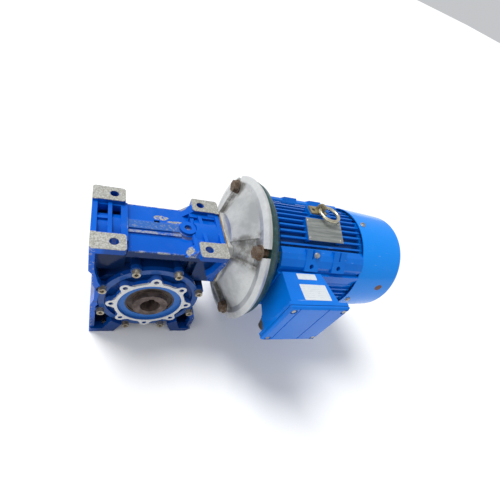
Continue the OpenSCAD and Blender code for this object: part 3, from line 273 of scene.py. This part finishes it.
def housing_wear_and_shade(g, paint, up, facing_y):
    """Paint of the gearbox housing with its painted shade, and the mask of its bare and worn places."""
    ax = g.math("ABSOLUTE", g.x)
    ay = g.math("ABSOLUTE", g.y)
    # machined faces
    ragged = g.times(g.math("SUBTRACT", g.noise(120.0, 5.0, 0.6), 0.5), 0.003)
    top = g.step(g.math("ADD", g.z, ragged), PAD_FACE_Z - 0.0015, PAD_FACE_Z - 0.0005)
    foot = g.both(g.step(g.z, FOOT_FACE_Z + 0.0010, FOOT_FACE_Z + 0.0002), g.step(up, 0.0, -0.5))
    rear_ring = g.step(g.y, RING_FACE_Y - 0.0009, RING_FACE_Y - 0.0006)
    end_face = g.both(g.step(g.x, HOUSING_FACE_X - 0.0004, HOUSING_FACE_X - 0.0001),
                      g.step(ay, 0.0505, 0.0502))
    # raised bar with rubbed paint, and the low strip beside it
    left_end = g.step(g.x, -0.052, -0.050)
    bar = g.both(g.step(g.z, BAR_TOP_Z - 0.0008, BAR_TOP_Z - 0.0002),
                 g.step(ay, 0.0086, 0.0082),
                 left_end,
                 g.step(g.x, 0.031, 0.030))
    paint = g.tint(paint, bar, 0.55, (0.055, 0.145, 0.33))
    bar_wear = g.both(bar, g.step(g.noise(170.0, 6.0, 0.7), 0.50, 0.66))
    strip = g.both(g.step(g.x, 0.035, 0.034),
                   left_end,
                   g.step(g.z, STRIP_TOP_Z - 0.0007, STRIP_TOP_Z - 0.0002),
                   g.step(g.y, -0.0095, -0.0100),
                   g.step(g.y, -0.0156, -0.0150),
                   g.step(g.noise(110.0, 5.0, 0.7), 0.38, 0.60))
    # painted shade on the drum and the tunnel, behind the deck's front edge
    painted_hollow_shade = g.both(g.step(g.y, -DECK_EDGE_Y - 0.0006, -DECK_EDGE_Y - 0.0001),
                    g.step(g.z, DECK_Z - 0.0004, DECK_Z - 0.0030),
                    g.step(ax, 0.0940, 0.0880))
    paint = g.tint(paint, painted_hollow_shade, 0.80, (0.001, 0.010, 0.040))
    # painted shade on the faces turned towards the front, except the outside of the left wall
    painted_front_shade = g.both(g.step(facing_y, -0.5, -0.9), g.step(g.x, -0.088, -0.080))
    paint = g.tint(paint, painted_front_shade, 0.45, (0.001, 0.012, 0.050))
    # painted shade on the lower housing and the feet, darker towards the bottom
    low = g.both(g.step(g.z, -0.045, -0.070), g.step(g.x, -0.0970, -0.0940))
    paint = g.tint(paint, low, 0.60, (0.001, 0.014, 0.060))
    # painted shade in the pockets below the deck, beside the pads
    painted_well_shade = g.both(g.step(g.z, 0.1170, 0.1120), g.step(ay, 0.048, 0.046), g.step(ax, 0.040, 0.050))
    paint = g.tint(paint, painted_well_shade, 0.45, (0.008, 0.016, 0.040))
    # worn edges of the deck and the walls
    deck = g.both(g.step(ax, 0.056, 0.050), g.step(g.z, DECK_Z - 0.0040, DECK_Z - 0.0010))
    edge = g.both(deck, g.step(ay, DECK_EDGE_Y - 0.0030, DECK_EDGE_Y),
                  g.step(g.noise(95.0, 5.0, 0.7), 0.44, 0.60))
    side_edge = g.both(g.step(ax, 0.0925, 0.0955), g.step(ay, 0.0600, 0.0618),
                       g.step(g.noise(130.0, 5.0, 0.7), 0.50, 0.62))
    # large chips behind the bar and beside the front right pad, and wear round the plug
    torn = g.step(g.noise(190.0, 5.0, 0.65), 0.40, 0.47)
    chip_a = g.both(g.near((0.003, 0.0255, 0.118), (0.0120, 0.0050, 0.010), 0.15, 2.6, 130.0), torn)
    chip_b = g.both(g.near((0.030, 0.0185, 0.119), (0.0170, 0.0026, 0.010), 0.15, 2.8, 130.0), torn)
    chip_c = g.both(g.near((0.044, -0.0440, 0.120), (0.0070, 0.0075, 0.010), 0.15, 2.4, 130.0), torn)
    plug_wear = g.near((0.044, 0.0000, 0.120), (0.0260, 0.0190, 0.004), 0.4, 1.6, 70.0)
    chips = g.both(g.step(g.noise(64.0, 6.0, 0.68), 0.70, 0.73), g.step(g.z, -0.02, 0.06))
    mask = g.either(top, foot, rear_ring, end_face, chip_a, chip_b, chip_c,
                    g.times(plug_wear, 0.55), g.times(bar_wear, 0.45), g.times(strip, 0.8),
                    g.times(edge, 0.85), g.times(side_edge, 0.5), g.times(chips, 0.6))
    return paint, mask


def gearbox_paint(name, cover=False):
    """Blue enamel over cast aluminium, worn through in places."""
    g = Graph(name)
    up, facing_y = g.facing()
    big = g.noise(9.0, 3.0, 0.5)
    mid = g.noise(38.0, 5.0, 0.6)
    fine = g.noise(260.0, 4.0, 0.6)
    paint = g.mix(g.step(big, 0.35, 0.65), (0.0005, 0.090, 0.50), (0.001, 0.115, 0.60))
    dust = g.both(g.step(mid, 0.50, 0.78), g.step(up, 0.3, 0.9))
    paint = g.tint(paint, dust, 0.07, (0.20, 0.27, 0.38))
    grime = g.both(g.step(mid, 0.56, 0.74), g.step(g.z, 0.095, 0.04))
    paint = g.tint(paint, grime, 0.55, (0.030, 0.024, 0.026))
    bare, bare_height = cast_speckle(g)
    if cover:
        paint, mask = cover_wear_and_shade(g, paint)
        bare = g.mix(0.55, bare, (0.86, 0.87, 0.88))
    else:
        paint, mask = housing_wear_and_shade(g, paint, up, facing_y)
    peel = g.noise(150.0, 3.0, 0.5)
    cast = g.noise(45.0, 4.0, 0.55)
    height = g.math("ADD", g.times(peel, 0.35), g.times(cast, 0.5))
    height = g.math("SUBTRACT", height, g.times(mask, 0.5))
    height = g.math("ADD", height, g.times(g.times(bare_height, mask), 0.5))
    rough = g.mixf(mask, g.mixf(g.step(mid, 0.45, 0.75), 0.15, 0.28), 0.62)
    rough = g.math("ADD", rough, g.times(g.math("SUBTRACT", fine, 0.5), 0.10))
    return g.set(Base_Color=g.mix(mask, paint, bare),
                 Roughness=rough,
                 Metallic=g.times(mask, 0.35),
                 Specular_IOR_Level=0.20,
                 Normal=g.bump(height, 0.40, 0.0010))


def motor_paint(name):
    """The lighter blue enamel of the motor, with dust, scratches and one rust spot."""
    g = Graph(name)
    up, _ = g.facing()
    big = g.noise(7.0, 3.0, 0.5)
    mid = g.noise(45.0, 5.0, 0.6)
    paint = g.mix(g.step(big, 0.35, 0.68), (0.0010, 0.130, 0.56), (0.0015, 0.170, 0.68))
    # the cowl is a shade lighter than the castings
    cowl = g.both(g.step(g.x, COWL_X - 0.0005, COWL_X + 0.0005), g.step(g.y, -0.110, -0.100))
    paint = g.mix(cowl, paint, (0.0005, 0.240, 0.82))
    dust = g.both(g.step(mid, 0.52, 0.80), g.step(up, 0.2, 0.9))
    paint = g.tint(paint, dust, 0.08, (0.20, 0.34, 0.52))
    # painted shade between the fins
    radius = g.radius(g.y, g.math("SUBTRACT", g.z, AXIS_Z))
    painted_fin_shade = g.both(g.step(radius, 0.0905, 0.0855),
                  g.step(g.x, 0.170, 0.180),
                  g.step(g.x, COWL_X + 0.001, COWL_X - 0.003))
    paint = g.tint(paint, painted_fin_shade, 0.60, (0.012, 0.035, 0.085))
    # the rust spot on the cowl, pale scratches and small chips
    rust = g.near((0.404, -0.0915, 0.116), (0.0085, 0.0075, 0.0060), 0.35, 1.2, 200.0)
    paint = g.mix(rust, paint, (0.13, 0.045, 0.020))
    lines = g.noise(24.0, 3.0, 0.5, g.stretched(1.0, 9.0, 9.0))
    scratch = g.both(g.step(lines, 0.70, 0.73), g.step(g.z, 0.10, 0.16))
    paint = g.tint(paint, scratch, 0.35, (0.35, 0.52, 0.68))
    chips = g.step(g.noise(70.0, 6.0, 0.7), 0.735, 0.75)
    paint = g.tint(paint, chips, 0.55, (0.16, 0.17, 0.18))
    height = g.math("ADD", g.times(g.noise(130.0, 3.0, 0.5), 0.4), g.times(mid, 0.3))
    return g.set(Base_Color=paint,
                 Roughness=g.mixf(g.step(mid, 0.45, 0.75), 0.14, 0.26),
                 Specular_IOR_Level=0.20,
                 Normal=g.bump(height, 0.30, 0.0007))


def shield_paint(name):
    """Dull dark green enamel with dust and chips."""
    g = Graph(name)
    mid = g.noise(55.0, 6.0, 0.65)
    colour = g.mix(g.step(mid, 0.40, 0.66), (0.010, 0.045, 0.045), (0.022, 0.085, 0.090))
    dust = g.step(g.noise(170.0, 5.0, 0.7), 0.55, 0.72)
    colour = g.tint(colour, dust, 0.40, (0.16, 0.19, 0.17))
    chips = g.step(g.noise(95.0, 6.0, 0.7), 0.66, 0.69)
    colour = g.tint(colour, chips, 0.7, (0.30, 0.28, 0.24))
    return g.set(Base_Color=colour,
                 Roughness=g.mixf(dust, 0.38, 0.70),
                 Normal=g.bump(g.math("ADD", mid, g.times(chips, -0.6)), 0.5, 0.0010))


def bare_aluminium(name):
    """The bell flange: clouded sand casting with a bright turned rim, and painted shade in its bolt pockets
    and low down.
    """
    g = Graph(name)
    grain = g.noise(300.0, 6.0, 0.65)
    cloud = g.noise(24.0, 5.0, 0.6)
    stain = g.noise(48.0, 6.0, 0.7)
    colour = g.mix(g.step(cloud, 0.35, 0.68), (0.40, 0.41, 0.41), (0.62, 0.63, 0.62))
    colour = g.tint(colour, g.step(stain, 0.55, 0.72), 0.45, (0.27, 0.27, 0.25))
    colour = g.tint(colour, g.step(grain, 0.62, 0.75), 0.35, (0.20, 0.20, 0.19))
    runs = g.noise(36.0, 5.0, 0.65, g.stretched(1.0, 1.0, 0.25))
    drip = g.both(g.step(runs, 0.60, 0.72), g.step(g.z, 0.06, 0.0))
    colour = g.tint(colour, drip, 0.5, (0.12, 0.115, 0.10))
    # painted shade in the pockets round the four bolts, a quarter turn apart and 45 degrees from upright
    above = g.math("SUBTRACT", g.z, AXIS_Z)
    radius = g.radius(g.y, above)
    quarter = g.math("SUBTRACT", g.math("DIVIDE", g.math("ARCTAN2", g.y, above), math.pi / 2), 0.5)
    off_bolt = g.math("ABSOLUTE", g.math("SUBTRACT", quarter, g.math("ROUND", quarter)))
    painted_pocket_shade = g.both(g.step(off_bolt, 0.22, 0.15),
                    g.step(radius, 0.056, 0.066),
                    g.step(radius, 0.1150, 0.1120))
    ragged = g.step(g.noise(60.0, 6.0, 0.7), 0.30, 0.60)
    colour = g.mix(g.both(painted_pocket_shade, ragged, 0.75), colour, (0.105, 0.098, 0.080))
    # painted shade: the lower part of the flange darker, in ragged patches
    low = g.both(g.step(g.z, 0.075, 0.010), ragged, 0.70)
    colour = g.mix(low, colour, (0.095, 0.092, 0.082))
    rim = g.times(g.step(radius, 0.1140, 0.1155), g.scale_to(ragged, 0.9, 0.5))
    colour = g.mix(rim, colour, (0.70, 0.71, 0.70))
    height = g.math("ADD", g.times(grain, 0.6), g.times(cloud, 0.5))
    return g.set(Base_Color=colour,
                 Metallic=0.55,
                 Roughness=g.mixf(g.step(cloud, 0.3, 0.7), 0.36, 0.56),
                 Normal=g.bump(height, 0.6, 0.0010))


def metal(name, colour, dark, rough, metallic=0.9, rust=0.0, grain=(1, 1, 1), size=180.0):
    """A machined or plated metal with tarnish, and with rust if asked."""
    g = Graph(name)
    streak = g.noise(size, 5.0, 0.6, g.stretched(*grain))
    cloud = g.noise(size * 0.35, 5.0, 0.65)
    col = g.mix(g.step(cloud, 0.35, 0.70), colour, dark)
    col = g.tint(col, g.step(streak, 0.5, 0.75), 0.30, dark)
    r = g.mixf(g.step(streak, 0.35, 0.7), rough, min(1.0, rough + 0.2))
    if rust:
        spots = g.step(g.noise(size * 0.8, 6.0, 0.7), 0.62 - rust * 0.25, 0.72 - rust * 0.2)
        col = g.mix(spots, col, RUST)
        r = g.mixf(spots, r, 0.85)
        metallic = g.mixf(spots, metallic, 0.05)
    return g.set(Base_Color=col, Roughness=r, Metallic=metallic, Normal=g.bump(streak, 0.25, 0.0004))


def dull(name, colour, dark, rough=0.6, size=150.0):
    """Rubber, plastic, paper or card."""
    g = Graph(name)
    cloud = g.noise(size * 0.4, 5.0, 0.6)
    fine = g.noise(size * 3.0, 4.0, 0.6)
    col = g.mix(g.step(cloud, 0.35, 0.70), colour, dark)
    col = g.tint(col, g.step(fine, 0.58, 0.75), 0.25, dark)
    r = g.mixf(g.step(fine, 0.3, 0.7), rough, min(1.0, rough + 0.15))
    return g.set(Base_Color=col, Roughness=r, Normal=g.bump(fine, 0.3, 0.0004))


def winding(name):
    """Varnished copper wire, drawn as fine strands."""
    g = Graph(name)
    wire = g.noise(500.0, 2.0, 0.5, g.stretched(0.25, 1.0, 1.0))
    col = g.mix(g.step(wire, 0.40, 0.62), (0.16, 0.045, 0.012), (0.50, 0.20, 0.06))
    return g.set(Base_Color=col, Roughness=0.35, Normal=g.bump(wire, 0.8, 0.0010))


def laminations(name):
    """Stacked steel sheets, seen as stripes along X."""
    g = Graph(name)
    sheets = g.bands("X", 160.0, 0.5)
    col = g.mix(sheets, (0.09, 0.09, 0.10), (0.26, 0.27, 0.28))
    return g.set(Base_Color=col, Metallic=0.8, Roughness=g.mixf(g.noise(90.0), 0.38, 0.6),
                 Normal=g.bump(sheets, 0.4, 0.0004))


def shaft_iron(name):
    """Browned steel of the hollow output shaft."""
    g = Graph(name)
    cloud = g.noise(55.0, 6.0, 0.65)
    col = g.mix(g.step(cloud, 0.38, 0.64), (0.060, 0.042, 0.036), (0.16, 0.12, 0.105))
    col = g.tint(col, g.step(g.noise(200.0, 5.0, 0.7), 0.58, 0.72), 0.6, (0.17, 0.075, 0.040))
    return g.set(Base_Color=col, Metallic=0.35, Roughness=g.mixf(cloud, 0.45, 0.80),
                 Normal=g.bump(g.noise(260.0, 5.0, 0.7), 0.5, 0.0006))


def plate(name):
    """Brushed plate, clouded with age and left blank."""
    g = Graph(name)
    brushed = g.noise(260.0, 3.0, 0.6, g.stretched(0.06, 1.0, 1.0))
    cloud = g.noise(90.0, 5.0, 0.65)
    col = g.mix(g.step(brushed, 0.35, 0.65), (0.20, 0.22, 0.21), (0.34, 0.36, 0.34))
    col = g.tint(col, g.step(cloud, 0.50, 0.72), 0.55, (0.17, 0.20, 0.21))
    return g.set(Base_Color=col, Metallic=0.45, Roughness=g.mixf(brushed, 0.34, 0.52),
                 Normal=g.bump(brushed, 0.2, 0.0003))


MATERIALS = {
    "housing_paint": gearbox_paint("gearbox enamel, worn, with painted shade"),
    "motor_paint": motor_paint("motor enamel"),
    "shield_paint": shield_paint("green flange enamel"),
    "bare_aluminium": bare_aluminium("sand-cast aluminium"),
    "bearing_steel": metal("ground bearing steel", (0.60, 0.61, 0.63), (0.40, 0.41, 0.43), 0.18),
    "cage_steel": metal("polished balls and cage", (0.62, 0.62, 0.60), (0.45, 0.44, 0.42), 0.15),
    "shaft_iron": shaft_iron("rusty hollow shaft"),
    "wheel_bronze": metal("machined bronze", (0.60, 0.36, 0.13), (0.38, 0.20, 0.07), 0.28, grain=(1, 6, 1)),
    "worm_steel": metal("ground worm steel", (0.36, 0.38, 0.41), (0.20, 0.21, 0.24), 0.24, grain=(6, 1, 1)),
    "seal_rubber": dull("brown seal rubber", (0.035, 0.024, 0.020), (0.085, 0.062, 0.050), 0.55, 200.0),
    "o_ring_rubber": dull("black rubber", (0.010, 0.010, 0.011), (0.030, 0.030, 0.030), 0.5),
    "gasket_paper": dull("oiled gasket paper", (0.46, 0.33, 0.17), (0.22, 0.15, 0.08), 0.8, 220.0),
    "zinc_screw": metal("tarnished zinc screw", (0.50, 0.46, 0.36), (0.26, 0.21, 0.15), 0.38,
                        metallic=0.7, rust=0.35, size=260.0),
    "rusty_bolt": metal("rusty bolt", (0.24, 0.20, 0.16), (0.10, 0.075, 0.06), 0.5,
                        metallic=0.6, rust=0.8, size=240.0),
    "plug_steel": metal("plated steel", (0.52, 0.52, 0.51), (0.32, 0.31, 0.29), 0.32,
                        metallic=0.85, rust=0.15, size=240.0),
    "spring_steel": metal("phosphated spring steel", (0.12, 0.12, 0.13), (0.06, 0.06, 0.07), 0.45),
    "lamination": laminations("lamination stack"),
    "copper_winding": winding("varnished winding"),
    "cage_aluminium": metal("die-cast rotor cage", (0.60, 0.61, 0.61), (0.40, 0.40, 0.40), 0.42),
    "shaft_steel": metal("turned shaft steel", (0.48, 0.49, 0.51), (0.30, 0.31, 0.33), 0.24,
                         grain=(8, 1, 1)),
    "fan_plastic": dull("black fan plastic", (0.014, 0.014, 0.016), (0.035, 0.034, 0.034), 0.5),
    "gland_plastic": dull("gland plastic", (0.016, 0.016, 0.018), (0.040, 0.040, 0.042), 0.45),
    "board_plastic": dull("terminal board", (0.075, 0.016, 0.012), (0.040, 0.010, 0.008), 0.5),
    "stud_brass": metal("terminal brass", (0.70, 0.50, 0.20), (0.45, 0.30, 0.12), 0.25),
    "plate_aluminium": plate("satin rating plate"),
    "lug_steel": metal("dull yellow zinc", (0.42, 0.36, 0.21), (0.22, 0.19, 0.12), 0.45,
                       metallic=0.7, rust=0.2, size=200.0),
    "ring_steel": metal("shiny lifting ring", (0.72, 0.68, 0.54), (0.48, 0.43, 0.30), 0.22,
                        metallic=0.95, size=160.0),
}
COVER_PAINT = gearbox_paint("cover enamel, worn, with painted shade", cover=True)

# the side cover shares the housing's slot but has wear and painted shade of its own
slot_of = {s["node"]: s["material_slot"] for s in frame["record"]["subparts"]}
for name, obj in nodes.items():
    material = COVER_PAINT if name == "side_cover" else MATERIALS[slot_of[name]]
    for k in range(max(1, len(obj.material_slots))):
        if not obj.material_slots:
            obj.data.materials.append(material)
        obj.material_slots[k].material = material


# --- blank labels on top of the terminal box ---------------------------------------------------

LABEL_GAP = 0.00005     # air between a label and the box
LABEL_T = 0.00015       # thickness of a label
LABEL_CORNER_R = 0.0012
BOX_MIDDLE_X = 0.225    # a line along Y over the box's lid
RAY_START_Z = 0.30      # clear above the box


def label_paper():
    """Soiled paper with faint rubbed marks instead of print."""
    g = Graph("label paper")
    marks = g.both(g.step(g.bands("Y", 80.0, 1.0), 0.72, 0.90),
                   g.step(g.noise(150.0, 3.0, 0.5), 0.45, 0.55))
    dirt = g.step(g.noise(80.0, 6.0, 0.7), 0.52, 0.72)
    col = g.tint((0.62, 0.66, 0.68), dirt, 0.35, (0.34, 0.38, 0.40))
    col = g.tint(col, marks, 0.22, (0.25, 0.28, 0.32))
    return g.set(Base_Color=col, Roughness=g.mixf(dirt, 0.42, 0.60),
                 Normal=g.bump(g.noise(60.0, 3.0, 0.5), 0.3, 0.0004))


def top_of_box(y):
    """Height of the terminal box's sloping top at a depth y, found by a ray cast down onto its mesh."""
    box = nodes["terminal_box"]
    start = box.matrix_world.inverted() @ Vector((BOX_MIDDLE_X, y, RAY_START_Z))
    hit, point, _, _ = box.ray_cast(start, Vector((0, 0, -1)))
    return (box.matrix_world @ point).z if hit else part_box("terminal_box")[1][2]


def label(name, x0, x1, y0, y1, paper):
    """A thin sheet with rounded corners, lying just above the box."""
    mesh = bpy.data.meshes.new(name)
    bm = bmesh.new()
    r = LABEL_CORNER_R
    corners = [(x1 - r, y1 - r, 0), (x0 + r, y1 - r, 90), (x0 + r, y0 + r, 180), (x1 - r, y0 + r, 270)]
    ring = []
    for cx, cy, a0 in corners:
        for k in range(5):
            a = math.radians(a0 + k * 22.5)
            x, y = cx + r * math.cos(a), cy + r * math.sin(a)
            ring.append(bm.verts.new((x, y, top_of_box(y) + LABEL_GAP)))
    face = bm.faces.new(ring)
    raised = bmesh.ops.extrude_face_region(bm, geom=[face])["geom"]
    top = [v for v in raised if isinstance(v, bmesh.types.BMVert)]
    bmesh.ops.translate(bm, vec=(0, 0, LABEL_T), verts=top)
    bmesh.ops.recalc_face_normals(bm, faces=bm.faces[:])
    bm.to_mesh(mesh)
    bm.free()
    mesh.materials.append(paper)
    obj = bpy.data.objects.new(name, mesh)
    bpy.context.scene.collection.objects.link(obj)
    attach(obj, "gearmotor")


PAPER = label_paper()
label("small_blank_label", 0.207, 0.243, -0.1015, -0.090, PAPER)
label("large_blank_label", 0.2045, 0.2535, -0.1405, -0.111, PAPER)


# --- stage, camera and light ------------------------------------------------------------------

# Viewpoint fitted to the machine's straight edges: where the camera stands and how it is turned
CAMERA_PLACE = (-0.0925, -0.3542, 0.4647)
CAMERA_FORWARD = (0.3414, 0.5653, -0.7509)
CAMERA_RIGHT = (0.9385, -0.1616, 0.3051)
CAMERA_LENS_MM = 22.44
CAMERA_SHIFT = (0.084, 0.058)
FLOOR_HALF = 30.0
ORIGIN = (0.0, 0.0, 0.0)


def stage_floor(z):
    """A wide pale floor at height z, not attached to any body."""
    mesh = bpy.data.meshes.new("floor")
    bm = bmesh.new()
    bmesh.ops.create_grid(bm, x_segments=8, y_segments=8, size=FLOOR_HALF)
    bm.to_mesh(mesh)
    bm.free()
    obj = bpy.data.objects.new("floor", mesh)
    obj.location = (0, 0, z)
    bpy.context.scene.collection.objects.link(obj)
    g = Graph("pale floor")
    tone = g.mix(g.noise(3.0, 3.0, 0.5), (0.90, 0.90, 0.90), (0.93, 0.93, 0.93))
    mesh.materials.append(g.set(Base_Color=tone, Roughness=0.85))


def camera():
    """A wide lens close to the machine, looking down on it from the front left."""
    data = bpy.data.cameras.new("camera")
    data.sensor_width = 36.0
    data.lens = CAMERA_LENS_MM
    data.shift_x, data.shift_y = CAMERA_SHIFT
    data.clip_end = 100.0
    obj = bpy.data.objects.new("camera", data)
    right = Vector(CAMERA_RIGHT).normalized()
    forward = Vector(CAMERA_FORWARD).normalized()
    right = (right - forward * right.dot(forward)).normalized()
    up = right.cross(forward)
    m = Matrix((right, up, -forward)).transposed().to_4x4()
    m.translation = Vector(CAMERA_PLACE)
    obj.matrix_world = m
    bpy.context.scene.collection.objects.link(obj)
    bpy.context.scene.camera = obj


def area_light(name, location, target, size, power):
    """A round white light of that size, turned towards the target."""
    data = bpy.data.lights.new(name, "AREA")
    data.shape = "DISK"
    data.size = size
    data.energy = power
    obj = bpy.data.objects.new(name, data)
    obj.location = location
    obj.rotation_euler = (Vector(target) - Vector(location)).to_track_quat("-Z", "Y").to_euler()
    bpy.context.scene.collection.objects.link(obj)


def sun_light(name, towards, energy, angle):
    """Sunlight coming from that direction, its shadows softened by the angle in radians."""
    data = bpy.data.lights.new(name, "SUN")
    data.energy = energy
    data.angle = angle
    obj = bpy.data.objects.new(name, data)
    obj.rotation_euler = Vector(towards).to_track_quat("Z", "Y").to_euler()
    bpy.context.scene.collection.objects.link(obj)


def world(strength):
    """Even, slightly cool light from all sides."""
    w = bpy.data.worlds.new("studio")
    w.use_nodes = True
    bg = w.node_tree.nodes["Background"]
    bg.inputs[0].default_value = (0.95, 0.97, 1.0, 1.0)
    bg.inputs[1].default_value = strength
    bpy.context.scene.world = w


stage_floor(cad_box[0][2])
camera()
world(0.58)
sun_light("key", (-0.35, 0.42, 1.0), 2.4, 0.45)
area_light("fill", (-1.5, -0.9, 1.0), ORIGIN, 1.2, 6.0)
bpy.context.scene.view_settings.view_transform = "Standard"
